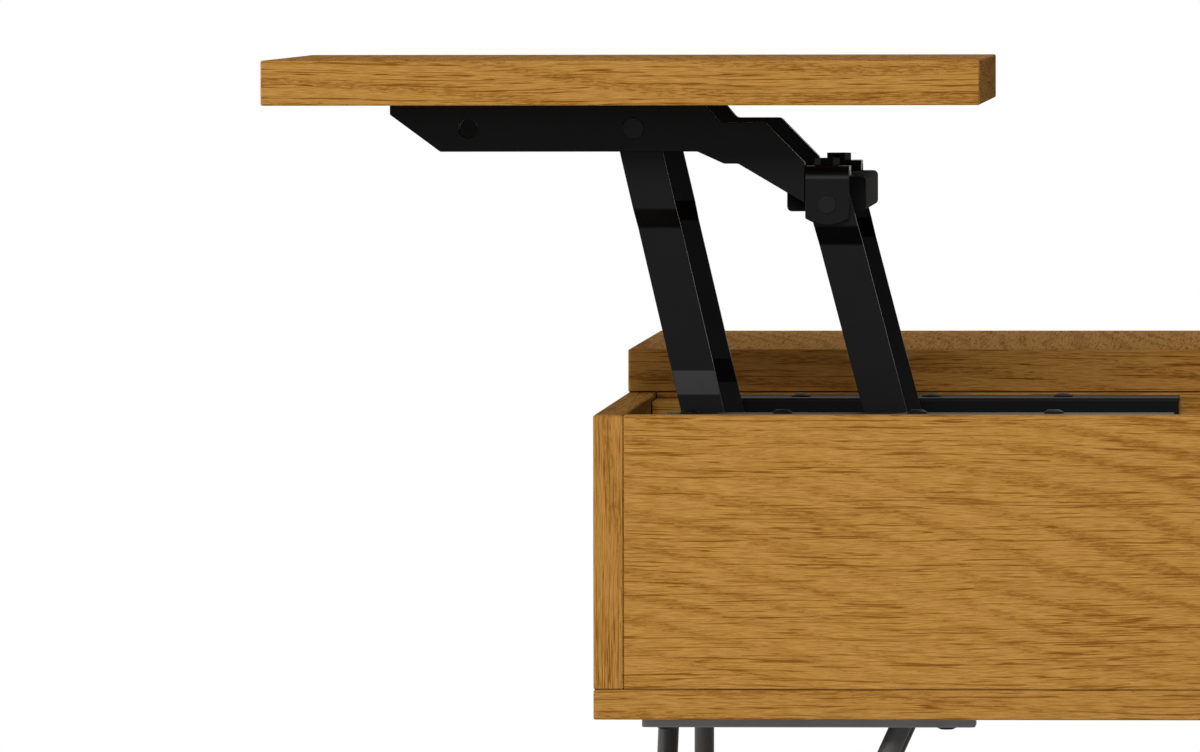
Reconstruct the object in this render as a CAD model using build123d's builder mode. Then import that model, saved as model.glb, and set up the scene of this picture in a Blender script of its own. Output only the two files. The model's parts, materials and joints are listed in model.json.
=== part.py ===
from build123d import *
import math
import os

# A square coffee table on hairpin legs. One quarter of its top rises and moves
# towards the user on two four-bar lift hinges, and is modelled raised.
# X runs from the front, where the user sits, to the back. Y runs from the near
# side to the far side. The origin is on the floor in the middle of the opened table.

# Driving dimensions in millimetres: the wooden box and its tops
table_side = 864.0
leg_height = 262.0
box_height = 182.0
board = 18.0
top_thickness = 27.0
top_gap = 5.0
support_rail_height = 80.0
board_arris = 0.8
top_arris = 1.2

# The lift: how far the top comes forward and up, and where its pivots are
lift_reach = 198.6
lift_rise = 183.2
closed_gap = 1.6
top_pivot_back = 219.1
top_pivot_drop = 14.7
rear_pivot_back = 116.6
rear_pivot_drop = 45.9
base_pivot_drop = 20.0

# Lift hinges: steel thicknesses and the layers of one hinge, counted inward
hinge_inset = 74.75
rail_steel = 2.5
channel_steel = 2.0
bracket_steel = 3.0
arm_steel = 4.0
channel_outer = 5.0
arm_gap = 0.75
arm_joggle = 8.0
foot_joggle = 3.0
channel_side_gap = 1.0

# Base rails
rail_setback = 41.0
rail_length = 305.0
rail_flange = 55.0
rail_drop = 0.8
rail_end_depth = 15.0
front_ear = 8.5
front_ear_step = 10.0
rear_ear = 12.0
rail_bend = 2.4
batten_clearance = 3.0

# Arms
arm_width = 25.3
arm_head = 11.0
arm_foot = 8.5
foot_corner = 5.0
knee_rise = 4.5
front_arm_lean = 13.15
rear_arm_lean = 14.6
front_line_offset = 1.3
rear_line_offset = 2.1
rear_shoulder_rise = 3.5
front_joggle_start = 48.8
rear_joggle_start = 13.2
joggle_length = 11.0
foot_joggle_rise = 44.0
foot_joggle_length = 14.5
joggle_bend = 3.0

# Top rails: a channel with its open side down, whose tail drops to the cross bar
channel_front = 146.9
channel_depth = 28.7
nose_height = 6.3
nose_slope = 30.4
shoulder_run = 42.5
shoulder_step = (9.6, 11.3)
saddle_run = 27.3
tail_slope = 1.02
belly_run = 38.6
belly_step = (16.0, 7.3)
belly_flat = 8.5
tail_belly_slope = 0.59
channel_bend = 4.0
sight_hole = 5.75
sight_hole_front = 99.8

# Cross bar, the brackets that hang the rear arms from it, and their bolts
bar_width = 47.5
bar_height = 21.1
bar_wall = 2.0
bar_round = 3.0
bar_below_pivot = 4.4
bar_behind_pivot = -0.8
cap_flange = 1.0
cap_plug = 7.0
cap_fit = 0.1
bracket_width = 26.4
bracket_behind_pivot = 0.1
bracket_side_drop = 8.2
bracket_belly_drop = 12.3
bracket_corner = 1.2
bracket_flange = 40.0
bracket_bend = 5.5
bracket_gap = 0.4
packer_steel = 3.4
bolt_across = 15.0
bolt_head = 4.6
bolt_shank = 3.0
bolt_length = 14.0

# Pivot bolts, with a chamfered hexagon head at one end and riveted over at the other
pin_radius = 4.0
running_fit = 0.05
front_pin_head = 6.9
rear_pin_head = 5.9
base_pin_head = 6.5
head_chamfer = 32.0
front_head_height = 1.2
rear_head_height = 0.8
base_head_height = 1.5
pin_tail = 5.5
pin_tail_height = 1.5
pin_end_play = 0.25
spacer_radius = 8.0
spacer_play = 0.1

# Screws
screw_head = 6.0
screw_head_height = 2.2
screw_flat_share = 0.6
screw_rim_share = 0.4
screw_shank = 2.2
screw_length = 14.0
hole_fit = 0.1
rail_screw_out = 16.0
rail_screw_first = 14.4
rail_screw_pitch = (55.6, 81.0, 82.0)
channel_screw_head = 4.0
channel_screw_head_height = 1.8
channel_screw_offsets = (-125.0, -65.0, 26.0)
leg_screw_head = 5.9
leg_screw_head_height = 1.8

# Rubber bumpers that the closed lift top lands on
bumper_radius = 2.2
bumper_height = 1.4
bumper_inset = 45.0

# Hairpin legs on corner plates
plate_inset = 27.5
plate_length = 200.0
plate_width = 32.0
plate_steel = 6.0
plate_corner = 4.0
plate_web_radius = 40.0
rod_radius = 6.35
rod_edge_inset = 37.0
rod_far_inset = 182.3
foot_inset = 50.0
foot_bend = 35.0
leg_screw_edge = 14.5
leg_screw_end = 17.5

# Levels and sides of the box
table_x = lift_reach / 2
front_x = table_x - table_side / 2
back_x = table_x + table_side / 2
near_y = -table_side / 2
far_y = table_side / 2
floor_top = leg_height + board
rim = leg_height + box_height

# The raised lift top
lift_side = (table_side - top_gap) / 2
lift_front = front_x - lift_reach
lift_mid_y = near_y + lift_side / 2
lift_underside = rim + closed_gap + lift_rise
lift_mid_plane = Plane.XZ.offset(-lift_mid_y)
rail_half_span = lift_side / 2 - hinge_inset

# Pivots. The base pivot lies on the line that is equally far from the open and
# the closed place of the top pivot, so both arms turn the top level from one to the other.
front_top_x = lift_front + top_pivot_back
front_top_z = lift_underside - top_pivot_drop
rear_top_x = front_top_x + rear_pivot_back
rear_top_z = front_top_z - rear_pivot_drop
front_base_z = rim - base_pivot_drop
arm_rise = front_top_z - front_base_z
arm_reach = (lift_reach**2 + lift_rise**2 - 2 * arm_rise * lift_rise) / (2 * lift_reach)
front_base_x = front_top_x + arm_reach
rear_base_x = rear_top_x + arm_reach
rear_base_z = rear_top_z - arm_rise

# Layers of a lift hinge, counted inward from the base rail's outer face
channel_inner_face = channel_outer + channel_steel
upper_arm = channel_inner_face + arm_gap
lower_arm = upper_arm + arm_joggle
foot_arm = lower_arm - foot_joggle
channel_far_wall = lower_arm + arm_steel + channel_side_gap
channel_width = channel_far_wall + channel_steel - channel_outer
bracket_outer = channel_inner_face - bracket_steel

# The cross bar, which starts at the channel's inner wall
bar_bottom = rear_top_z - bar_below_pivot
bar_mid_x = rear_top_x + bar_behind_pivot
bar_mid_z = bar_bottom + bar_height / 2
bar_top = bar_bottom + bar_height
flange_seat = bar_top + packer_steel
bracket_front = rear_top_x + bracket_behind_pivot - bracket_width / 2
bracket_bolt_in = channel_far_wall + (bracket_flange + bracket_outer - channel_far_wall) / 2

# Holes for the screws and the pivot pins
screw_hole = screw_shank + hole_fit
pin_bore = pin_radius + running_fit

# Base rails and the battens that carry them
rail_front = front_x + rail_setback
rail_back = rail_front + rail_length
flange_top = rim - rail_drop
batten_top = flange_top - rail_steel
batten_back = table_x - board / 2


def depth(inward):
    """Y of a layer of the near lift hinge, counted inward from its base rail."""
    return lift_mid_y - rail_half_span + inward


def upright(inward):
    """Vertical plane along X and Z at that layer."""
    return Plane.XZ.offset(-depth(inward))


def save(piece, name):
    """Label a finished piece and write it to its own file."""
    piece.part.label = name
    export_step(piece.part, "parts/" + name + ".step")


def save_pair(piece, stem):
    """Write a piece of the near lift hinge and its mirror image on the far one."""
    with BuildPart() as far_piece:
        mirror(piece.part, about=lift_mid_plane)
    save(piece, "near_" + stem)
    save(far_piece, "far_" + stem)


def save_group(piece, name):
    """Write a piece and its mirror image on the far lift hinge as one group."""
    with BuildPart() as group:
        add(piece.part)
        mirror(piece.part, about=lift_mid_plane)
    save(group, name)


def plain_board(low, high, arris):
    """A board between two corners, with its arrises eased."""
    size = Vector(high) - Vector(low)
    with BuildPart() as piece:
        with Locations(Vector(low) + size / 2):
            Box(size.X, size.Y, size.Z)
        chamfer(piece.edges(), arris)
    return piece


def top_slab(low_x, low_y, high_x, high_y, underside):
    """A thick top with rounded arrises."""
    with BuildPart() as piece:
        with Locations(((low_x + high_x) / 2, (low_y + high_y) / 2, underside + top_thickness / 2)):
            Box(high_x - low_x, high_y - low_y, top_thickness)
        fillet(piece.edges(), top_arris)
    return piece


def drill(piece, places, radius, from_z, to_z):
    """A board with blind pilot holes at the given places."""
    with BuildPart() as drilled:
        add(piece.part)
        with BuildSketch(Plane.XY.offset(from_z)):
            with Locations(*places):
                Circle(radius)
        extrude(amount=to_z - from_z, mode=Mode.SUBTRACT)
    return drilled


def screws(places, seat, points_down, head, head_height, length):
    """Pan-head screws with their heads on one level, pointing down or up."""
    with BuildPart() as single:
        with BuildSketch(Plane.XZ):
            with BuildLine():
                Polyline(
                    (0, head_height),
                    (head * screw_flat_share, head_height),
                    (head, head_height * screw_rim_share),
                    (head, 0),
                    (screw_shank, 0),
                    (screw_shank, -length),
                    (0, -length),
                    close=True,
                )
            make_face()
        revolve(axis=Axis.Z)
    turn = (0, 0, 0) if points_down else (180, 0, 0)
    with BuildPart() as group:
        with Locations(*[(x, y, seat) for x, y in places]):
            add(single.part, rotation=turn)
    return group


def pin(x, z, head, head_height, seat, end, tail_gap):
    """A pivot bolt along Y with a hexagon head, riveted over at its inner end."""
    with BuildPart() as piece:
        with BuildSketch(upright(seat)):
            with Locations((x, z)):
                RegularPolygon(head, 6, rotation=90)
        extrude(amount=head_height)
        with BuildSketch(upright(seat)):
            with Locations((x, z)):
                Circle(head)
        extrude(amount=head_height, taper=head_chamfer, mode=Mode.INTERSECT)
        with BuildSketch(upright(seat)):
            with Locations((x, z)):
                Circle(pin_radius)
        extrude(amount=seat - end - tail_gap)
        with BuildSketch(upright(end + tail_gap)):
            with Locations((x, z)):
                Circle(pin_tail)
        extrude(amount=-pin_tail_height)
    return piece


def arm(top_x, top_z, base_x, base_z, lean, line_offset, shoulder_drop, joggle_start):
    """A flat steel arm, bent inwards below its head and back again above its foot."""
    slope = math.tan(math.radians(lean))
    line_x = top_x + line_offset
    knee_z = base_z + knee_rise
    knee_x = line_x + (top_z - knee_z) * slope
    shoulder_x = line_x + shoulder_drop * slope
    shoulder_z = top_z - shoulder_drop
    joggle_end = joggle_start + joggle_length
    foot_start = arm_rise - foot_joggle_rise
    foot_end = foot_start + foot_joggle_length
    reach = arm_rise + arm_width
    foot_side = arm_joggle - foot_joggle
    with BuildPart() as piece:
        with BuildSketch(Plane((line_x, depth(upper_arm), top_z), (0, 0, -1), (1, 0, 0))) as strip:
            with BuildLine():
                Polyline(
                    (-arm_width, 0),
                    (joggle_start, 0),
                    (joggle_end, arm_joggle),
                    (foot_start, arm_joggle),
                    (foot_end, foot_side),
                    (reach, foot_side),
                    (reach, foot_side + arm_steel),
                    (foot_end, foot_side + arm_steel),
                    (foot_start, arm_joggle + arm_steel),
                    (joggle_end, arm_joggle + arm_steel),
                    (joggle_start, arm_steel),
                    (-arm_width, arm_steel),
                    close=True,
                )
            make_face()
            bends = strip.vertices().filter_by_position(Axis.X, joggle_start, foot_end)
            fillet(bends, joggle_bend)
        extrude(amount=arm_rise, both=True)
        with BuildSketch(upright(upper_arm)) as outline:
            with BuildSketch(Plane.XY) as straight:
                with Locations((top_x, top_z)):
                    Circle(arm_head)
                with Locations((shoulder_x, shoulder_z), (knee_x, knee_z)):
                    Circle(arm_width / 2)
                make_hull()
            with BuildSketch(Plane.XY) as foot:
                with Locations((base_x, base_z)):
                    Circle(arm_foot)
                with Locations((knee_x, knee_z)):
                    Circle(arm_width / 2)
                make_hull()
            inner_corner = Vector(knee_x - arm_width / 2, knee_z + arm_width / 2)
            fillet(outline.vertices().sort_by_distance(inner_corner)[0], foot_corner)
            with Locations((top_x, top_z), (base_x, base_z)):
                Circle(pin_bore, mode=Mode.SUBTRACT)
        extrude(amount=-arm_joggle - arm_steel, mode=Mode.INTERSECT)
    return piece


os.makedirs("parts", exist_ok=True)

# Screw places
rail_screw_x = [rail_front + rail_screw_first]
for pitch in rail_screw_pitch:
    rail_screw_x.append(rail_screw_x[-1] + pitch)
near_screw_y = depth(-rail_screw_out)
far_screw_y = 2 * lift_mid_y - near_screw_y
near_rail_places = [(x, near_screw_y) for x in rail_screw_x]
far_rail_places = [(x, far_screw_y) for x in rail_screw_x]
channel_mid_y = depth(channel_outer + channel_width / 2)
near_channel_places = [(front_top_x + offset, channel_mid_y) for offset in channel_screw_offsets]
far_channel_places = [(x, 2 * lift_mid_y - y) for x, y in near_channel_places]
plate_near = plate_inset + leg_screw_edge
plate_far = plate_inset + plate_length - leg_screw_end
corner_places = ((plate_near, plate_near), (plate_far, plate_near), (plate_near, plate_far))
near_front_places = [(front_x + x, near_y + y) for x, y in corner_places]
leg_places = []
for x, y in near_front_places:
    for leg_x in (x, 2 * table_x - x):
        leg_places += [(leg_x, y), (leg_x, -y)]

# The box: bottom, four walls and the two rails that hold up the fixed tops
bottom_board = plain_board((front_x, near_y, leg_height), (back_x, far_y, floor_top), board_arris)
pilot_top = leg_height - plate_steel + screw_length
save(drill(bottom_board, leg_places, screw_hole, leg_height, pilot_top), "bottom_panel")

wall_ends = (("front_panel", front_x), ("back_panel", back_x - board))
for name, x in wall_ends:
    save(plain_board((x, near_y, floor_top), (x + board, far_y, rim), board_arris), name)

side_walls = (("near_side_panel", near_y), ("far_side_panel", far_y - board))
for name, y in side_walls:
    low = (front_x + board, y, floor_top)
    high = (back_x - board, y + board, rim)
    save(plain_board(low, high, board_arris), name)

rail_low = rim - support_rail_height
centre_low = (front_x + board, -board / 2, rail_low)
centre_high = (back_x - board, board / 2, rim)
save(plain_board(centre_low, centre_high, board_arris), "centre_rail")

cross_low = (batten_back, near_y + board, rail_low)
cross_high = (table_x + board / 2, -board / 2, rim)
save(plain_board(cross_low, cross_high, board_arris), "cross_rail")

# Battens that carry the base rails
pilot_low = flange_top - screw_length
near_batten = plain_board(
    (front_x + board, near_y + board, batten_top - board),
    (batten_back, depth(-batten_clearance), batten_top),
    board_arris,
)
far_batten = plain_board(
    (front_x + board, 2 * lift_mid_y - depth(-batten_clearance), batten_top - board),
    (batten_back, -board / 2, batten_top),
    board_arris,
)
save(drill(near_batten, near_rail_places, screw_hole, batten_top, pilot_low), "near_batten")
save(drill(far_batten, far_rail_places, screw_hole, batten_top, pilot_low), "far_batten")

# Fixed tops over the far half and the back quarter, and the lift top
top_edge = top_gap / 2
save(top_slab(front_x, top_edge, back_x, far_y, rim), "far_fixed_top")
save(top_slab(table_x + top_edge, near_y, back_x, -top_edge, rim), "back_fixed_top")

lift_slab = top_slab(lift_front, near_y, lift_front + lift_side, near_y + lift_side, lift_underside)
channel_places = near_channel_places + far_channel_places
pilot_high = lift_underside - channel_steel + screw_length
save(drill(lift_slab, channel_places, screw_hole, lift_underside, pilot_high), "lift_top")

# Bumpers on the cross rail, where the back edge of the closed lift top lands
closed_flat_end = front_x + lift_side - top_arris
bumper_x = (batten_back + board_arris + closed_flat_end) / 2
with BuildPart() as bumpers:
    with BuildSketch(Plane.XY.offset(rim)):
        with Locations((bumper_x, near_y + bumper_inset), (bumper_x, near_y + lift_side - bumper_inset)):
            Circle(bumper_radius)
    extrude(amount=bumper_height)
save(bumpers, "lift_top_bumpers")

# Base rails: a flange screwed to the batten and a web that carries the pivots
with BuildPart() as base_rail:
    with BuildSketch(upright(0)) as web:
        with Locations((front_base_x, front_base_z)):
            Circle(front_ear)
        with Locations((rear_base_x, rear_base_z)):
            Circle(rear_ear)
        with BuildLine():
            Polyline(
                (rail_front, flange_top),
                (rail_back, flange_top),
                (rail_back, flange_top - rail_end_depth),
            )
        make_hull()
        with Locations((rail_front, flange_top)):
            Rectangle(rail_setback, front_ear_step, align=(Align.MAX, Align.MAX), mode=Mode.SUBTRACT)
        with Locations((front_base_x, front_base_z), (rear_base_x, rear_base_z)):
            Circle(pin_bore, mode=Mode.SUBTRACT)
    extrude(amount=-rail_steel)
    with BuildSketch(Plane.XY.offset(flange_top)):
        with Locations((rail_front, depth(rail_steel))):
            Rectangle(rail_length, rail_flange, align=(Align.MIN, Align.MAX))
        with Locations(*near_rail_places):
            Circle(screw_hole, mode=Mode.SUBTRACT)
    extrude(amount=-rail_steel)
    fillet(base_rail.edges().filter_by(Axis.X).group_by(Axis.Z)[-1].sort_by(Axis.Y)[-1], rail_bend)
save_pair(base_rail, "base_rail")

rail_places = near_rail_places + far_rail_places
rail_screws = screws(rail_places, flange_top, True, screw_head, screw_head_height, screw_length)
save(rail_screws, "base_rail_screws")

# Arms
front_arm = arm(
    front_top_x,
    front_top_z,
    front_base_x,
    front_base_z,
    front_arm_lean,
    front_line_offset,
    top_pivot_drop,
    front_joggle_start,
)
save_pair(front_arm, "front_arm")
rear_arm = arm(
    rear_top_x,
    rear_top_z,
    rear_base_x,
    rear_base_z,
    rear_arm_lean,
    rear_line_offset,
    -rear_shoulder_rise,
    rear_joggle_start,
)
save_pair(rear_arm, "rear_arm")

# Top rails
channel_bottom = lift_underside - channel_depth
shoulder_x = front_top_x + shoulder_run
saddle_x = shoulder_x + shoulder_step[0]
saddle_z = lift_underside - shoulder_step[1]
tail_x = saddle_x + saddle_run
tail_end_x = bracket_front - bracket_gap
belly_x = front_top_x + belly_run
belly_low_x = belly_x + belly_step[0]
belly_low_z = channel_bottom - belly_step[1]
belly_tail_x = belly_low_x + belly_flat
nose_x = front_top_x - channel_front
upper_edge = [
    (nose_x, lift_underside),
    (shoulder_x, lift_underside),
    (saddle_x, saddle_z),
    (tail_x, saddle_z),
    (tail_end_x, saddle_z - (tail_end_x - tail_x) * tail_slope),
]
lower_edge = [
    (tail_end_x, belly_low_z - (tail_end_x - belly_tail_x) * tail_belly_slope),
    (belly_tail_x, belly_low_z),
    (belly_low_x, belly_low_z),
    (belly_x, channel_bottom),
    (nose_x + nose_slope, channel_bottom),
    (nose_x, lift_underside - nose_height),
]
with BuildPart() as top_rail:
    with BuildSketch(upright(channel_outer)) as profile:
        with BuildLine():
            Polyline(*upper_edge, *lower_edge, close=True)
        make_face()
        soft_corners = profile.vertices().filter_by_position(Axis.X, belly_x, tail_x)
        fillet(soft_corners, channel_bend)
    extrude(amount=-channel_width)
    with BuildSketch(upright(channel_inner_face)):
        with Locations((0, -channel_steel)):
            add(profile.sketch_local)
        with BuildLine():
            Polyline(*lower_edge, (nose_x, channel_bottom - channel_width), close=True)
        make_face()
    extrude(amount=channel_inner_face - channel_far_wall, mode=Mode.SUBTRACT)
    with BuildSketch(upright(channel_inner_face)):
        with Locations((bar_mid_x, bar_mid_z)):
            Rectangle(bar_width, bar_height)
    extrude(amount=-channel_width, mode=Mode.SUBTRACT)
    with BuildSketch(upright(channel_outer)):
        with Locations((front_top_x - sight_hole_front, front_top_z)):
            Circle(sight_hole)
        with Locations((front_top_x, front_top_z)):
            Circle(pin_bore)
    extrude(amount=-channel_width, mode=Mode.SUBTRACT)
    with BuildSketch(Plane.XY.offset(lift_underside)):
        with Locations(*near_channel_places):
            Circle(screw_hole)
    extrude(amount=-channel_steel, mode=Mode.SUBTRACT)
save_pair(top_rail, "top_rail")

channel_seat = lift_underside - channel_steel
top_rail_screws = screws(
    channel_places,
    channel_seat,
    False,
    channel_screw_head,
    channel_screw_head_height,
    screw_length,
)
save(top_rail_screws, "top_rail_screws")

# Cross bar between the two hinges, with a plug in each end
bar_length = 2 * (rail_half_span - channel_far_wall - cap_flange)
bolt_place = (bar_mid_x, depth(bracket_bolt_in))
far_bolt_place = (bar_mid_x, 2 * lift_mid_y - depth(bracket_bolt_in))
with BuildPart() as cross_bar:
    with BuildSketch(lift_mid_plane):
        with Locations((bar_mid_x, bar_mid_z)):
            RectangleRounded(bar_width, bar_height, bar_round)
            RectangleRounded(
                bar_width - 2 * bar_wall, bar_height - 2 * bar_wall, bar_round / 2, mode=Mode.SUBTRACT
            )
    extrude(amount=bar_length / 2, both=True)
    with BuildSketch(Plane.XY.offset(bar_top)):
        with Locations(bolt_place, far_bolt_place):
            Circle(bolt_shank + hole_fit)
    extrude(amount=-bar_wall, mode=Mode.SUBTRACT)
save(cross_bar, "cross_bar")

plug_width = bar_width - 2 * bar_wall - 2 * cap_fit
plug_height = bar_height - 2 * bar_wall - 2 * cap_fit
with BuildPart() as bar_cap:
    with BuildSketch(upright(channel_far_wall)):
        with Locations((bar_mid_x, bar_mid_z)):
            RectangleRounded(bar_width, bar_height, bar_round)
    extrude(amount=-cap_flange)
    with BuildSketch(upright(channel_far_wall + cap_flange)):
        with Locations((bar_mid_x, bar_mid_z)):
            RectangleRounded(plug_width, plug_height, bar_round / 2)
    extrude(amount=-cap_plug)
save_group(bar_cap, "cross_bar_caps")

# Brackets that lie on the cross bar and hang the rear arms
bracket_back = bracket_front + bracket_width
bracket_mid = bracket_front + bracket_width / 2
bracket_top = flange_seat + bracket_steel
with BuildPart() as bracket:
    with BuildSketch(upright(bracket_outer)) as plate:
        with BuildLine():
            Polyline(
                (bracket_front, rear_top_z - bracket_side_drop),
                (bracket_front, bracket_top),
                (bracket_back, bracket_top),
                (bracket_back, rear_top_z - bracket_side_drop),
            )
            ThreePointArc(
                (bracket_front, rear_top_z - bracket_side_drop),
                (bracket_mid, rear_top_z - bracket_belly_drop),
                (bracket_back, rear_top_z - bracket_side_drop),
            )
        make_face()
        fillet(plate.vertices().group_by(Axis.Y)[0], bracket_corner)
        with Locations((rear_top_x, rear_top_z)):
            Circle(pin_bore, mode=Mode.SUBTRACT)
    extrude(amount=-bracket_steel)
    with BuildSketch(Plane.XY.offset(flange_seat)):
        with Locations((bracket_front, depth(bracket_outer))):
            Rectangle(bracket_width, bracket_flange, align=(Align.MIN, Align.MIN))
        with Locations(bolt_place):
            Circle(bolt_shank + hole_fit, mode=Mode.SUBTRACT)
    extrude(amount=bracket_steel)
    bend_edges = bracket.edges().filter_by(Axis.X)
    fillet(bend_edges.group_by(Axis.Z)[-1].sort_by(Axis.Y)[0], bracket_bend + bracket_steel)
    inner_bend = Vector(bracket_mid, depth(bracket_outer + bracket_steel), flange_seat)
    fillet(bracket.edges().filter_by(Axis.X).sort_by_distance(inner_bend)[0], bracket_bend)
save_pair(bracket, "hanger_bracket")

# Packing plates that fill the space between the cross bar and the brackets
packer_length = bracket_outer + bracket_flange - channel_far_wall
with BuildPart() as packer:
    with BuildSketch(Plane.XY.offset(bar_top)):
        with Locations((bracket_front, depth(channel_far_wall))):
            Rectangle(bracket_width, packer_length, align=(Align.MIN, Align.MIN))
        with Locations(bolt_place):
            Circle(bolt_shank + hole_fit, mode=Mode.SUBTRACT)
    extrude(amount=packer_steel)
save_group(packer, "bracket_packers")

with BuildPart() as bracket_bolt:
    with BuildSketch(Plane.XY.offset(bracket_top)):
        with Locations(bolt_place):
            RegularPolygon(bolt_across / 2, 6)
    extrude(amount=bolt_head)
    with BuildSketch(Plane.XY.offset(bracket_top)):
        with Locations(bolt_place):
            Circle(bolt_shank)
    extrude(amount=-bolt_length)
save_group(bracket_bolt, "bracket_bolts")

# Pivot bolts and the spacers that hold the arms off the base rails
channel_back_face = channel_far_wall + channel_steel
front_top_pin = pin(
    front_top_x, front_top_z, front_pin_head, front_head_height, channel_outer, channel_back_face, 0
)
save_group(front_top_pin, "front_top_pins")
bracket_arm_face = upper_arm + arm_steel
rear_top_pin = pin(
    rear_top_x,
    rear_top_z,
    rear_pin_head,
    rear_head_height,
    bracket_outer,
    bracket_arm_face,
    pin_end_play,
)
save_group(rear_top_pin, "rear_top_pins")
arm_inner_face = foot_arm + arm_steel
base_pins = (
    ("front_base_pins", front_base_x, front_base_z),
    ("rear_base_pins", rear_base_x, rear_base_z),
)
for name, x, z in base_pins:
    base_pin = pin(x, z, base_pin_head, base_head_height, 0, arm_inner_face, pin_end_play)
    save_group(base_pin, name)

with BuildPart() as spacer:
    with BuildSketch(upright(rail_steel)):
        with Locations((front_base_x, front_base_z), (rear_base_x, rear_base_z)):
            Circle(spacer_radius)
            Circle(pin_bore, mode=Mode.SUBTRACT)
    extrude(amount=rail_steel + spacer_play - foot_arm)
save_group(spacer, "pivot_spacers")

# Hairpin legs: a plate under each corner and a bent rod welded to it
plate_level = leg_height - plate_steel
with BuildPart() as leg_plate:
    with BuildSketch(Plane.XY.offset(plate_level)) as plate_outline:
        with Locations((front_x + plate_inset, near_y + plate_inset)):
            Rectangle(plate_length, plate_width, align=(Align.MIN, Align.MIN))
            Rectangle(plate_width, plate_length, align=(Align.MIN, Align.MIN))
        inner_corner = Vector(
            front_x + plate_inset + plate_width, near_y + plate_inset + plate_width
        )
        outline_corners = plate_outline.vertices().sort_by_distance(inner_corner)
        fillet(outline_corners[1:], plate_corner)
        fillet(plate_outline.vertices().sort_by_distance(inner_corner)[0], plate_web_radius)
        with Locations(*near_front_places):
            Circle(screw_hole, mode=Mode.SUBTRACT)
    extrude(amount=plate_steel)

# The rod's bend lies in a plane that leans outwards along the corner's diagonal
rod_mid_inset = (rod_edge_inset + rod_far_inset) / 2
half_spread = (rod_far_inset - rod_edge_inset) / math.sqrt(2)
rod_mid = Vector(front_x + rod_mid_inset, near_y + rod_mid_inset, plate_level)
rod_foot = Vector(front_x + foot_inset, near_y + foot_inset, rod_radius)
rod_drop = rod_foot - rod_mid
bend_centre = rod_drop.length - foot_bend
spread_angle = math.atan2(half_spread, bend_centre)
half_angle = spread_angle - math.asin(foot_bend / math.hypot(half_spread, bend_centre))
apex = half_spread / math.tan(half_angle)
overrun = 2 * rod_radius
run_spread = half_spread + overrun * math.tan(half_angle)
across = Vector(1, -1, 0)
rod_plane = Plane(origin=rod_mid, x_dir=across, z_dir=across.cross(rod_drop))
with BuildPart() as hairpin:
    with BuildLine(rod_plane) as rod_path:
        FilletPolyline((-run_spread, -overrun), (0, apex), (run_spread, -overrun), radius=foot_bend)
    with BuildSketch(Plane(origin=rod_path.line @ 0, z_dir=rod_path.line % 0)):
        Circle(rod_radius)
    sweep()
    split(bisect_by=Plane.XY.offset(plate_level), keep=Keep.BOTTOM)

side_mirrors = (("near_", []), ("far_", [Plane.XZ]))
end_mirrors = (("front_", []), ("back_", [Plane.YZ.offset(table_x)]))
for side, side_planes in side_mirrors:
    for end, end_planes in end_mirrors:
        for stem, piece in (("leg_plate", leg_plate), ("hairpin", hairpin)):
            placed = piece.part
            for plane in side_planes + end_planes:
                placed = mirror(placed, about=plane)
            with BuildPart() as corner_piece:
                add(placed)
            save(corner_piece, side + end + stem)

leg_screws = screws(
    leg_places, plate_level, False, leg_screw_head, leg_screw_head_height, screw_length
)
save(leg_screws, "leg_screws")
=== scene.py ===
import json
import math
import random

import bmesh
import bpy
from mathutils import Matrix, Quaternion, Vector

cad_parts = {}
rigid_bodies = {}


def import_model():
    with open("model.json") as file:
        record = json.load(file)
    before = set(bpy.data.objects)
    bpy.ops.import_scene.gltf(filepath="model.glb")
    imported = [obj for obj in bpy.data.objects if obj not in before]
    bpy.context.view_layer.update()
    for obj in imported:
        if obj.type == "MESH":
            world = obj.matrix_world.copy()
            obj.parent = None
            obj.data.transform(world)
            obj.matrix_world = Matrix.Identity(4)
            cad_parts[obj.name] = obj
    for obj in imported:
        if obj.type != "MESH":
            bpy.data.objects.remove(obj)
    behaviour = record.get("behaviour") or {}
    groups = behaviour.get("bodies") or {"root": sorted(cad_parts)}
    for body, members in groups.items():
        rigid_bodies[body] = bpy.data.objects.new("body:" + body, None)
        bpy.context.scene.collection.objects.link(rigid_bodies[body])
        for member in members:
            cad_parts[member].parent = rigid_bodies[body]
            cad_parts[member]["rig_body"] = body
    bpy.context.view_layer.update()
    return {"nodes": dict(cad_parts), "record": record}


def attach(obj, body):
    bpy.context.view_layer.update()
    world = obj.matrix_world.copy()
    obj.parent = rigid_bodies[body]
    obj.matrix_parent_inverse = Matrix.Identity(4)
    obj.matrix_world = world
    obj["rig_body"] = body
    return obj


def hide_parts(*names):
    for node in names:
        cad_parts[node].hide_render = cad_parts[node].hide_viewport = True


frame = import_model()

nodes = frame["nodes"]
slot_of = {row["node"]: row["material_slot"] for row in frame["record"]["subparts"]}
scene = bpy.context.scene
MM = 0.001

# Camera: a long lens almost square to the table's near side
CAMERA_PLACE = (0.0993, -8.9026, 0.7254)
CAMERA_AIM = (-0.0505, 1.0, -0.030458)
CAMERA_ROLL = -0.0015
CAMERA_REACH = 60
LENS_MM = 426.5
SENSOR_MM = 36.0

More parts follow.
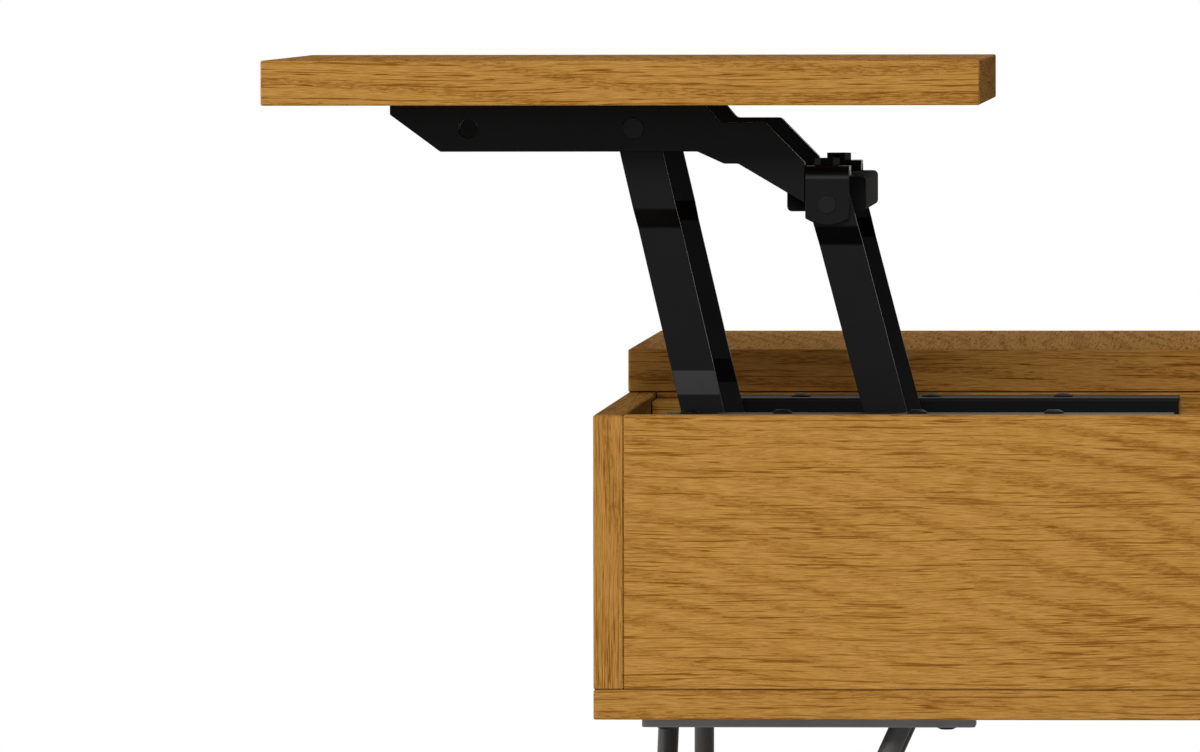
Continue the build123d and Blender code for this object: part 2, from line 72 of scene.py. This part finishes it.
# Colours, as linear values
OAK_LIGHT = (0.48, 0.25, 0.0625)
OAK_DARK = (0.347, 0.158, 0.028)
OAK_BAND = (0.31, 0.135, 0.022)
OAK_PORE = (0.185, 0.062, 0.0055)
# The seam colour is painted shade for joints and where parts touch
OAK_PAINTED_SEAM_SHADE = (0.06, 0.024, 0.004)
HINGE_BLACK = (0.002, 0.002, 0.002)
OXIDE_BLACK = (0.0028, 0.0028, 0.0028)
CAP_BLACK = (0.004, 0.004, 0.004)
FULL_BLACK = (0.0, 0.0, 0.0)
RUBBER_GREY = (0.035, 0.034, 0.032)
LEG_GREY = (0.056, 0.055, 0.053)
# The plates' grey is the rods' coat lightened by a painted reflection
PLATE_GREY_WITH_PAINTED_REFLECTION = (0.225, 0.236, 0.246)
PALE_FLOOR = (0.75, 0.75, 0.74)
WHITE = (1.0, 1.0, 1.0)

# Oak patterns, in repeats per mm along the grain, across it and into the board
DRIFT_RATE = (0.006, 0.012, 0.01)
CURL_RATE = (0.0018, 0.006, 0.004)
PATCH_RATE = (0.004, 0.014, 0.01)
FIBRE_RATE = (0.09, 1.5, 0.4)
VESSEL_RATE = (0.015, 0.8, 0.2)
DASH_RATE = (0.13, 1.3, 0.4)

# How far the oak's lines sway and its bands curl, and how fast the bands follow each other
SWAY_MM = 8.0
CURL_MM = 90.0
RING_RADIANS_PER_MM = 0.36

# How far a board's patterns are moved for each unit of its seed
GRAIN_SHIFT_MM = (613.0, 271.0, 97.0)

# Pattern values between which a mark comes or goes
BAND_RISE = (-0.2, 1.0)
PATCH_RISE = (0.2, 0.55)
FIBRE_RISE = (0.32, 0.66)
VESSEL_RISE = (0.02, 0.045)
# The seam pair sets where the painted seam shade fades out
SEAM_SHADE_RISE = (0.5, 0.8)

# Pattern values at which a mark lies, and the strength of the short pores
NOISE_MIDDLE = 0.5
VESSEL_LEVEL = 0.63
DASH_LEVEL = 0.7
DASH_LEVEL_DROP = 0.2
SHORT_PORE = 0.6

# Oak surface
OAK_ROUGHNESS = 0.78
PORE_ROUGHNESS = 0.15
OAK_SPECULAR = 0.006
OAK_BUMP = 0.22
FIBRE_RELIEF = 0.25
PORE_DEPTH = 0.1 * MM
# Painted seam shade: how far the occlusion reaches, and its samples
SEAM_SHADE_REACH = 1.2 * MM
SEAM_SHADE_SAMPLES = 8

# A face looks along an axis when more of its normal than this lies along it
FACING = math.sqrt(0.5)

# Coats and mouldings, with patterns in repeats per metre
PEEL_RATE = 1300.0
PEEL_BUMP = 0.12
PEEL_DEPTH = 0.03 * MM
LEG_PEEL_DEPTH = 0.08 * MM
CLOUD_RATE = 35.0
CLOUD_SPREAD = 0.15
CLOUD_ROUGHNESS = 0.1
CAP_PIT_RATE = 900.0
RUBBER_PIT_RATE = 1200.0
PIT_BUMP = 0.3
PIT_DEPTH = 0.05 * MM
PIT_SPREAD = 0.25
PIT_ROUGHNESS = 0.1
MOULDED_SPECULAR = 0.06

# Rounding of the steel's cut edges
HINGE_EDGE = 0.35 * MM
PLATE_EDGE = 0.7 * MM
HEAD_EDGE = 0.25 * MM
EDGE_ANGLE = math.radians(35)
EDGE_SEGMENTS = 2
FLAT_FACE_WEIGHT = 100
MERGE_DISTANCE = 0.004 * MM
FLAT_ANGLE = math.radians(0.4)

# Cross recess of the screws
RECESS_REACH = 2.1 * MM
SMALL_RECESS_REACH = 1.5 * MM
RECESS_HALF_WIDTH = 0.5 * MM
RECESS_DEPTH = 1.3 * MM
RECESS_WINGS = 4

# Floor, in metres, which begins to fade at one distance and ends at the other
FLOOR_FADE = 0.5
FLOOR_HALF = 2.6
FLOOR_ROUGHNESS = 0.9

# Light from all round, and the point that the lamps look at
AMBIENT = 0.12
LAMP_AIM = Vector((0.0, -0.2, 0.5))


def material(name):
    """A material with a bare node tree and its principled shader."""
    finish = bpy.data.materials.new(name)
    finish.use_nodes = True
    tree = finish.node_tree
    tree.nodes.clear()
    output = tree.nodes.new("ShaderNodeOutputMaterial")
    shader = tree.nodes.new("ShaderNodeBsdfPrincipled")
    tree.links.new(shader.outputs["BSDF"], output.inputs["Surface"])
    return finish, tree, shader


def rgba(colour):
    """A colour with full cover."""
    return (*colour, 1.0)


class Graph:
    """Short ways to add and link shader nodes."""

    def __init__(self, tree):
        self.tree = tree

    def link(self, value, socket):
        """Link another node's output to a socket, or give the socket a plain value."""
        if isinstance(value, bpy.types.NodeSocket):
            self.tree.links.new(value, socket)
        else:
            socket.default_value = value

    def math(self, operation, first, second=0.0):
        node = self.tree.nodes.new("ShaderNodeMath")
        node.operation = operation
        self.link(first, node.inputs[0])
        self.link(second, node.inputs[1])
        return node.outputs[0]

    def scale(self, vector, factors):
        node = self.tree.nodes.new("ShaderNodeVectorMath")
        node.operation = "MULTIPLY"
        self.link(vector, node.inputs[0])
        self.link(factors, node.inputs[1])
        return node.outputs[0]

    def length(self, vector):
        node = self.tree.nodes.new("ShaderNodeVectorMath")
        node.operation = "LENGTH"
        self.link(vector, node.inputs[0])
        return node.outputs["Value"]

    def split(self, vector):
        node = self.tree.nodes.new("ShaderNodeSeparateXYZ")
        self.link(vector, node.inputs[0])
        return node.outputs[0], node.outputs[1], node.outputs[2]

    def join(self, x, y, z):
        node = self.tree.nodes.new("ShaderNodeCombineXYZ")
        for value, socket in zip((x, y, z), node.inputs):
            self.link(value, socket)
        return node.outputs[0]

    def object_place(self):
        return self.tree.nodes.new("ShaderNodeTexCoord").outputs["Object"]

    def noise(self, vector, scale=1.0, detail=2.0, roughness=0.5):
        node = self.tree.nodes.new("ShaderNodeTexNoise")
        self.link(vector, node.inputs["Vector"])
        node.inputs["Scale"].default_value = scale
        node.inputs["Detail"].default_value = detail
        node.inputs["Roughness"].default_value = roughness
        return node.outputs[0]

    def ramp(self, value, low, high):
        """0 up to the low value, 1 from the high value, and a smooth rise between them."""
        node = self.tree.nodes.new("ShaderNodeMapRange")
        node.interpolation_type = "SMOOTHSTEP"
        self.link(value, node.inputs["Value"])
        self.link(low, node.inputs["From Min"])
        self.link(high, node.inputs["From Max"])
        return node.outputs[0]

    def mix(self, share, first, second, kind="RGBA"):
        node = self.tree.nodes.new("ShaderNodeMix")
        node.data_type = kind
        self.link(share, node.inputs["Factor"])
        sockets = [socket for socket in node.inputs if socket.enabled]
        self.link(first, sockets[1])
        self.link(second, sockets[2])
        return next(socket for socket in node.outputs if socket.enabled)

    def clouded(self, pattern, colour, spread):
        """A colour that a pattern makes darker and lighter."""
        darker = tuple((1 - spread) * part for part in colour)
        lighter = tuple((1 + spread) * part for part in colour)
        return self.mix(pattern, rgba(darker), rgba(lighter))

    def bump(self, height, strength, distance):
        node = self.tree.nodes.new("ShaderNodeBump")
        node.inputs["Strength"].default_value = strength
        node.inputs["Distance"].default_value = distance
        self.link(height, node.inputs["Height"])
        return node.outputs["Normal"]

    def seam(self):
        """Painted shade from ambient occlusion: 0 deep in a joint between boards or where parts touch, 1
        on open faces.
        """
        node = self.tree.nodes.new("ShaderNodeAmbientOcclusion")
        node.samples = SEAM_SHADE_SAMPLES
        node.inputs["Distance"].default_value = SEAM_SHADE_REACH
        return self.ramp(node.outputs["AO"], *SEAM_SHADE_RISE)


def grain_space(graph, on_top, on_side, seed):
    """Millimetres along the grain, across it and into the board, and whether a face lies flat."""
    spot = graph.tree.nodes.new("ShaderNodeTexCoord")
    place = graph.scale(spot.outputs["Object"], (1 / MM, 1 / MM, 1 / MM))
    axes = dict(zip("XYZ", graph.split(place)))
    normal = dict(zip("XYZ", graph.split(spot.outputs["Normal"])))

    def looks_along(axis):
        return graph.math("GREATER_THAN", graph.math("ABSOLUTE", normal[axis]), FACING)

    def laid(along, face):
        across = ({"X", "Y", "Z"} - {along, face}).pop()
        shift = seed * (1 + "XYZ".index(face))
        steps = zip((along, across, face), GRAIN_SHIFT_MM)
        return graph.join(*[graph.math("ADD", axes[axis], step * shift) for axis, step in steps])

    chosen = graph.mix(looks_along("Y"), laid(on_top, "Z"), laid(on_side, "Y"), "VECTOR")
    chosen = graph.mix(looks_along("X"), chosen, laid("Y", "X"), "VECTOR")
    return chosen, looks_along("Z")


def oak(name, seed, on_top="Y", on_side="X", figure=0.84, bands=0.22, slant=0.06, shade=0.0,
        flat_face_painted_shade=0.08):
    """Oiled oak: thin dark vessels along the grain, slanting growth bands full of pores, painted shade in
    seams and on flat faces.
    """
    finish, tree, shader = material(name)
    graph = Graph(tree)
    place, is_flat = grain_space(graph, on_top, on_side, seed)

    # The grain wanders a little, so the lines lean and curve
    drift = graph.noise(graph.scale(place, DRIFT_RATE), detail=1.0)
    sway = graph.math("MULTIPLY", graph.math("SUBTRACT", drift, NOISE_MIDDLE), SWAY_MM)
    along, across, into = graph.split(place)
    wandered = graph.join(along, graph.math("ADD", across, sway), into)

    # Growth bands cross the lines at a small angle
    curl = graph.math("MULTIPLY", graph.noise(graph.scale(place, CURL_RATE), detail=2.0), CURL_MM)
    lean = graph.math("ADD", graph.math("MULTIPLY", along, slant), curl)
    turn = graph.math("MULTIPLY", graph.math("ADD", across, lean), RING_RADIANS_PER_MM)
    ring = graph.ramp(graph.math("SINE", turn), *BAND_RISE)
    patch = graph.ramp(graph.noise(graph.scale(place, PATCH_RATE), detail=1.0), *PATCH_RISE)
    band = graph.math("MULTIPLY", ring, patch)

    # Fine lines
    fibre = graph.noise(graph.scale(wandered, FIBRE_RATE), detail=3.0, roughness=0.65)
    vessel = graph.noise(graph.scale(wandered, VESSEL_RATE), detail=1.5, roughness=0.4)
    dash = graph.noise(graph.scale(wandered, DASH_RATE), detail=2.0, roughness=0.6)

    # Open pores: long thin vessels everywhere, short ragged ones mostly in the bands
    edge = graph.math("ABSOLUTE", graph.math("SUBTRACT", vessel, VESSEL_LEVEL))
    long_pore = graph.math("SUBTRACT", 1.0, graph.ramp(edge, *VESSEL_RISE))
    gate = graph.math("SUBTRACT", DASH_LEVEL, graph.math("MULTIPLY", band, DASH_LEVEL_DROP))
    short_pore = graph.math("MULTIPLY", graph.math("GREATER_THAN", dash, gate), SHORT_PORE)
    pore = graph.math("MAXIMUM", long_pore, short_pore)

    # Colour, with painted shade on flat faces and in seams
    ground = graph.mix(graph.ramp(fibre, *FIBRE_RISE), rgba(OAK_DARK), rgba(OAK_LIGHT))
    banded = graph.mix(graph.math("MULTIPLY", band, bands), ground, rgba(OAK_BAND))
    grained = graph.mix(graph.math("MULTIPLY", pore, figure), banded, rgba(OAK_PORE))
    # Faces that look up or down get a painted shade; shade darkens every face of the board
    darkening_with_painted_shade = graph.math("ADD", shade, graph.math("MULTIPLY", is_flat, flat_face_painted_shade))
    shaded = graph.mix(darkening_with_painted_shade, grained, rgba(FULL_BLACK))
    # Painted shade in joints and where parts touch, from ambient occlusion
    colour = graph.mix(graph.seam(), rgba(OAK_PAINTED_SEAM_SHADE), shaded)
    graph.link(colour, shader.inputs["Base Color"])

    # Gloss and relief
    rougher = graph.math("MULTIPLY", pore, PORE_ROUGHNESS)
    graph.link(graph.math("ADD", OAK_ROUGHNESS, rougher), shader.inputs["Roughness"])
    shader.inputs["Specular IOR Level"].default_value = OAK_SPECULAR
    relief = graph.math("SUBTRACT", graph.math("MULTIPLY", fibre, FIBRE_RELIEF), pore)
    graph.link(graph.bump(relief, OAK_BUMP, PORE_DEPTH), shader.inputs["Normal"])
    return finish


def coated_steel(name, colour, roughness, specular, peel_depth=PEEL_DEPTH):
    """Painted steel: a cloudy coat with a fine orange peel."""
    finish, tree, shader = material(name)
    graph = Graph(tree)
    place = graph.object_place()
    peel = graph.noise(place, scale=PEEL_RATE, detail=2.0)
    cloud = graph.noise(place, scale=CLOUD_RATE, detail=3.0)
    graph.link(graph.clouded(cloud, colour, CLOUD_SPREAD), shader.inputs["Base Color"])
    spread = graph.math("MULTIPLY", graph.math("SUBTRACT", cloud, NOISE_MIDDLE), CLOUD_ROUGHNESS)
    graph.link(graph.math("ADD", roughness, spread), shader.inputs["Roughness"])
    shader.inputs["Specular IOR Level"].default_value = specular
    graph.link(graph.bump(peel, PEEL_BUMP, peel_depth), shader.inputs["Normal"])
    return finish


def moulded(name, colour, roughness, pit_rate):
    """Plastic or rubber with a fine moulded grain."""
    finish, tree, shader = material(name)
    graph = Graph(tree)
    pits = graph.noise(graph.object_place(), scale=pit_rate, detail=3.0, roughness=0.7)
    graph.link(graph.clouded(pits, colour, PIT_SPREAD), shader.inputs["Base Color"])
    spread = graph.math("MULTIPLY", pits, PIT_ROUGHNESS)
    graph.link(graph.math("ADD", roughness, spread), shader.inputs["Roughness"])
    shader.inputs["Specular IOR Level"].default_value = MOULDED_SPECULAR
    graph.link(graph.bump(pits, PIT_BUMP, PIT_DEPTH), shader.inputs["Normal"])
    return finish


def paint(node, finish):
    """Give a CAD node its material."""
    slots = nodes[node].data.materials
    slots.clear()
    slots.append(finish)


def add_object(name, data):
    """Put a mesh, a lamp or a camera into the scene."""
    added = bpy.data.objects.new(name, data)
    scene.collection.objects.link(added)
    return added


def mesh_of(name, shape):
    """A mesh with a shape's faces. The shape is used up."""
    mesh = bpy.data.meshes.new(name)
    shape.to_mesh(mesh)
    shape.free()
    return mesh


def clean_copy(mesh):
    """A copy of a mesh's shape without doubled points, and with whole faces in place of flat triangles."""
    shape = bmesh.new()
    shape.from_mesh(mesh)
    bmesh.ops.remove_doubles(shape, verts=shape.verts, dist=MERGE_DISTANCE)
    bmesh.ops.dissolve_limit(shape, angle_limit=FLAT_ANGLE, verts=shape.verts, edges=shape.edges)
    return shape


def stand_for(node, name, shape, finish, edge):
    """Put a shape in a CAD node's place, with its cut edges rounded."""
    mesh = mesh_of(name, shape)
    mesh.shade_smooth()
    mesh.materials.append(finish)
    piece = add_object(name, mesh)
    rounding = piece.modifiers.new("edges", "BEVEL")
    rounding.width = edge
    rounding.segments = EDGE_SEGMENTS
    rounding.limit_method = "ANGLE"
    rounding.angle_limit = EDGE_ANGLE
    rounding.use_clamp_overlap = False
    flatness = piece.modifiers.new("flatness", "WEIGHTED_NORMAL")
    flatness.weight = FLAT_FACE_WEIGHT
    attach(piece, nodes[node]["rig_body"])
    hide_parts(node)


def soften(node, finish, edge):
    """Replace a CAD node by a copy with rounded edges."""
    stand_for(node, node + "_rounded", clean_copy(nodes[node].data), finish, edge)


def solid_boxes(shape):
    """The lowest and highest corners of a shape's separate solids, in order of their place."""
    seen = set()
    boxes = []
    for first in shape.verts:
        if first in seen:
            continue
        seen.add(first)
        points = []
        reached = [first]
        while reached:
            point = reached.pop()
            points.append(point.co)
            for line in point.link_edges:
                other = line.other_vert(point)
                if other not in seen:
                    seen.add(other)
                    reached.append(other)
        low = Vector(min(point[axis] for point in points) for axis in range(3))
        high = Vector(max(point[axis] for point in points) for axis in range(3))
        boxes.append((low, high))
    return sorted(boxes, key=lambda box: tuple(round(place / MM) for place in box[0]))


def add_recess(cutters, place, turn, reach):
    """Add one cross-shaped cutter at a screw head."""
    half = RECESS_HALF_WIDTH
    wing = [Vector((reach, -half, 0)), Vector((reach, half, 0)), Vector((half, half, 0))]
    outline = []
    for step in range(RECESS_WINGS):
        turned = Matrix.Rotation(turn + step * math.tau / RECESS_WINGS, 3, "Z")
        outline += [place + turned @ corner for corner in wing]
    rims = []
    for height in (-RECESS_DEPTH, RECESS_DEPTH):
        rims.append([cutters.verts.new(point + Vector((0, 0, height))) for point in outline])
    low, high = rims
    cutters.faces.new(reversed(low))
    cutters.faces.new(high)
    count = len(outline)
    for index in range(count):
        after = (index + 1) % count
        cutters.faces.new((low[index], low[after], high[after], high[index]))


def drive(node, finish, heads_up, reach=RECESS_REACH):
    """Replace a group of screws by copies with a cross recess in each head."""
    draw = random.Random(node)
    shape = clean_copy(nodes[node].data)
    cutters = bmesh.new()
    for low, high in solid_boxes(shape):
        place = (low + high) / 2
        place.z = high.z if heads_up else low.z
        add_recess(cutters, place, draw.uniform(0, math.pi), reach)
    cutter = add_object("recess_cutters", mesh_of("recess_cutters", cutters))
    screws = add_object("screws", mesh_of("screws", shape))
    cut = screws.modifiers.new("recess", "BOOLEAN")
    cut.object = cutter
    cut.solver = "EXACT"
    cut_screws = screws.evaluated_get(bpy.context.evaluated_depsgraph_get())
    driven = clean_copy(cut_screws.to_mesh())
    for helper in (cutter, screws):
        bpy.data.objects.remove(helper)
    stand_for(node, node + "_driven", driven, finish, HEAD_EDGE)


def softbox(name, azimuth, elevation, distance, width, height, level, mirrored=True):
    """A large lamp round the object. At level 1 a face that looks at it shows its own colour."""
    turn = math.radians(azimuth)
    tilt = math.radians(elevation)
    toward = Vector((math.sin(turn) * math.cos(tilt), -math.cos(turn) * math.cos(tilt), math.sin(tilt)))
    lamp = bpy.data.lights.new(name, "AREA")
    lamp.shape = "RECTANGLE"
    lamp.size = width
    lamp.size_y = height
    lamp.energy = level * (math.pi * distance) ** 2
    holder = add_object(name, lamp)
    holder.location = LAMP_AIM + distance * toward
    holder.rotation_euler = (-toward).to_track_quat("-Z", "Y").to_euler()
    holder.visible_camera = False
    holder.visible_glossy = mirrored


# Wood, whose flat faces carry a painted shade
paint("near_side_panel", oak("oak_near_side", seed=1.0, on_top="X", bands=0.4, slant=0.24))
paint("far_side_panel", oak("oak_far_side", seed=2.3, on_top="X"))
# The front panel's rim top carries a deeper painted shade
paint("front_panel", oak("oak_front", seed=3.1, on_side="Z", shade=0.09, flat_face_painted_shade=0.19))
paint("back_panel", oak("oak_back", seed=4.7, on_side="Z"))
paint("bottom_panel", oak("oak_bottom", seed=5.2, on_top="X", shade=0.05))
paint("far_fixed_top", oak("oak_far_top", seed=6.6, figure=0.95))
paint("back_fixed_top", oak("oak_back_top", seed=7.9))
paint("lift_top", oak("oak_lift_top", seed=8.4, figure=0.95))
paint("centre_rail", oak("oak_centre_rail", seed=9.3, on_top="X"))
paint("cross_rail", oak("oak_cross_rail", seed=10.2, on_side="Z"))
paint("near_batten", oak("oak_near_batten", seed=11.5, on_top="X"))
paint("far_batten", oak("oak_far_batten", seed=12.8, on_top="X"))

# Steel, plastic and rubber
hinge_steel = coated_steel("hinge_black", HINGE_BLACK, roughness=0.38, specular=0.092)
bar_steel = coated_steel("bar_black", HINGE_BLACK, roughness=0.85, specular=0.06)
rail_steel = coated_steel("rail_black", HINGE_BLACK, roughness=0.55, specular=0.08)
pivot_steel = coated_steel("pivot_black", OXIDE_BLACK, roughness=0.36, specular=0.13)
screw_steel = coated_steel("screw_black", OXIDE_BLACK, roughness=0.55, specular=0.08)
leg_steel = coated_steel("leg_grey", LEG_GREY, roughness=0.4, specular=0.32, peel_depth=LEG_PEEL_DEPTH)
# The plates' lighter grey is a painted reflection on the legs' coat
plate_steel = coated_steel("plate_grey", PLATE_GREY_WITH_PAINTED_REFLECTION, roughness=0.5, specular=0.28,
                           peel_depth=LEG_PEEL_DEPTH)
cap_plastic = moulded("cap_black", CAP_BLACK, roughness=0.8, pit_rate=CAP_PIT_RATE)
bumper_rubber = moulded("bumper_grey", RUBBER_GREY, roughness=0.75, pit_rate=RUBBER_PIT_RATE)
plain_finishes = {
    "pivot_steel": pivot_steel,
    "cap_plastic": cap_plastic,
    "bumper_rubber": bumper_rubber,
    "leg_steel": leg_steel,
}
for name, slot in slot_of.items():
    if name == "cross_bar":
        soften(name, bar_steel, HINGE_EDGE)
    elif name.endswith("base_rail"):
        soften(name, rail_steel, HINGE_EDGE)
    elif slot == "hinge_steel":
        soften(name, hinge_steel, HINGE_EDGE)
    elif "leg_plate" in name:
        soften(name, plate_steel, PLATE_EDGE)
    elif slot in plain_finishes:
        paint(name, plain_finishes[slot])
soften("bracket_bolts", screw_steel, HEAD_EDGE)
drive("base_rail_screws", screw_steel, heads_up=True)
drive("leg_screws", screw_steel, heads_up=False)
drive("top_rail_screws", screw_steel, heads_up=False, reach=SMALL_RECESS_REACH)

# Floor, which fades to the white background at its edge
corners = [(-1, -1), (1, -1), (1, 1), (-1, 1)]
floor_mesh = bpy.data.meshes.new("floor")
floor_mesh.from_pydata([(FLOOR_HALF * x, FLOOR_HALF * y, 0) for x, y in corners], [], [(0, 1, 2, 3)])
floor = add_object("floor", floor_mesh)
floor_paint, floor_tree, floor_shader = material("pale_floor")
floor_shader.inputs["Base Color"].default_value = rgba(PALE_FLOOR)
floor_shader.inputs["Roughness"].default_value = FLOOR_ROUGHNESS
floor_graph = Graph(floor_tree)
floor_path = floor_tree.nodes.new("ShaderNodeLightPath")
fade = floor_graph.ramp(floor_graph.length(floor_graph.object_place()), FLOOR_FADE, FLOOR_HALF)
shown = floor_graph.math("MULTIPLY", fade, floor_path.outputs["Is Camera Ray"])
white = floor_tree.nodes.new("ShaderNodeEmission")
blended = floor_tree.nodes.new("ShaderNodeMixShader")
floor_graph.link(shown, blended.inputs[0])
floor_graph.link(floor_shader.outputs["BSDF"], blended.inputs[1])
floor_graph.link(white.outputs["Emission"], blended.inputs[2])
floor_graph.link(blended.outputs[0], floor_tree.nodes["Material Output"].inputs["Surface"])
floor_mesh.materials.append(floor_paint)

# World: white where the camera or a reflection sees it, weaker as light
world = bpy.data.worlds.new("studio")
scene.world = world
world.use_nodes = True
sky_tree = world.node_tree
sky_tree.nodes.clear()
sky = Graph(sky_tree)
world_out = sky_tree.nodes.new("ShaderNodeOutputWorld")
background = sky_tree.nodes.new("ShaderNodeBackground")
sky_path = sky_tree.nodes.new("ShaderNodeLightPath")
seen = sky.math("MAXIMUM", sky_path.outputs["Is Camera Ray"], sky_path.outputs["Is Glossy Ray"])
seen = sky.math("MAXIMUM", seen, sky_path.outputs["Is Transmission Ray"])
background.inputs["Color"].default_value = rgba(WHITE)
strength = sky.math("ADD", AMBIENT, sky.math("MULTIPLY", seen, 1 - AMBIENT))
sky.link(strength, background.inputs["Strength"])
sky.link(background.outputs[0], world_out.inputs["Surface"])

# Lamps, of which the two low fills stay out of the reflections
softbox("front_key", azimuth=-6, elevation=26.5, distance=7.0, width=5.6, height=1.1, level=0.75)
softbox("back_top", azimuth=172, elevation=46, distance=4.0, width=3.0, height=2.0, level=0.17)
softbox("left_fill", azimuth=-66, elevation=14, distance=4.5, width=2.0, height=1.0, level=0.29)
softbox("back_fill", azimuth=186, elevation=6, distance=5.0, width=4.0, height=1.6, level=0.42,
        mirrored=False)
softbox("left_side", azimuth=-98, elevation=6, distance=5.0, width=3.0, height=1.6, level=0.2,
        mirrored=False)

# Camera
camera_data = bpy.data.cameras.new("camera")
camera_data.lens = LENS_MM
camera_data.sensor_width = SENSOR_MM
camera_data.clip_end = CAMERA_REACH
camera = add_object("camera", camera_data)
camera.location = CAMERA_PLACE
aimed = Vector(CAMERA_AIM).to_track_quat("-Z", "Y") @ Quaternion((0, 0, 1), CAMERA_ROLL)
camera.rotation_euler = aimed.to_euler()
scene.camera = camera
scene.view_settings.view_transform = "Standard"
